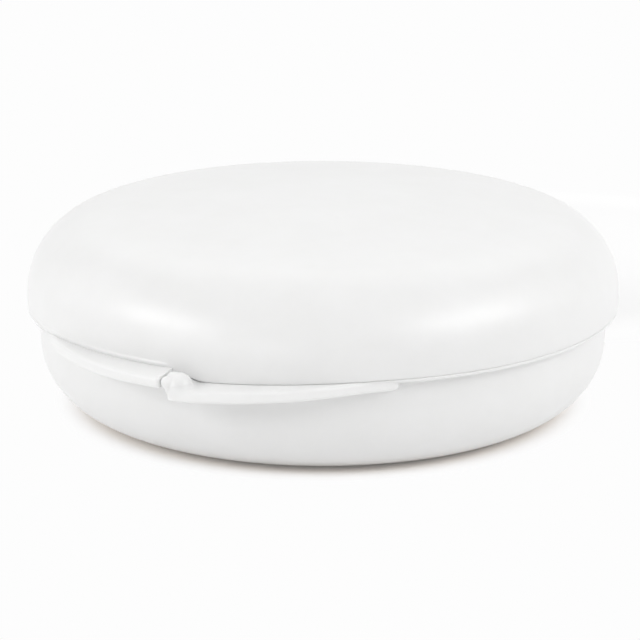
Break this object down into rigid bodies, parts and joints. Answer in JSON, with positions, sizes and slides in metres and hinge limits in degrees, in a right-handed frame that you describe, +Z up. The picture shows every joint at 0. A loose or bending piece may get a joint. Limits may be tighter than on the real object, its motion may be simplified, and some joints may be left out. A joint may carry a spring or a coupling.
{
  "type": "orthodontic retainer case",
  "caption": "Round pocket case for a dental retainer: shallow moulded bowl, overhanging domed lid on a pinned rear hinge, and split thumb lips with a snap boss in front.",
  "frame": {"origin": "on the case's axis, in the plane that the foot ring stands on", "axes": "+Z up through the lid, -Y towards the thumb lips, +Y towards the hinge, +X to the right seen from the front"},
  "size_m": [0.086, 0.0954, 0.0296],
  "materials": {
    "case_plastic": "white satin moulded polypropylene",
    "pin_steel": "drawn stainless wire, cut ends"
  },
  "bodies": {
    "base": {"base": "case_plastic", "hinge_pin": "pin_steel"},
    "lid": {"lid": "case_plastic"}
  },
  "joints": [
    {"name": "lid_hinge", "type": "hinge", "parent": "base", "child": "lid", "pos_m": [0, 0.0455, 0.015], "axis": [-1, 0, 0], "range_deg": [0, 180]}
  ]
}
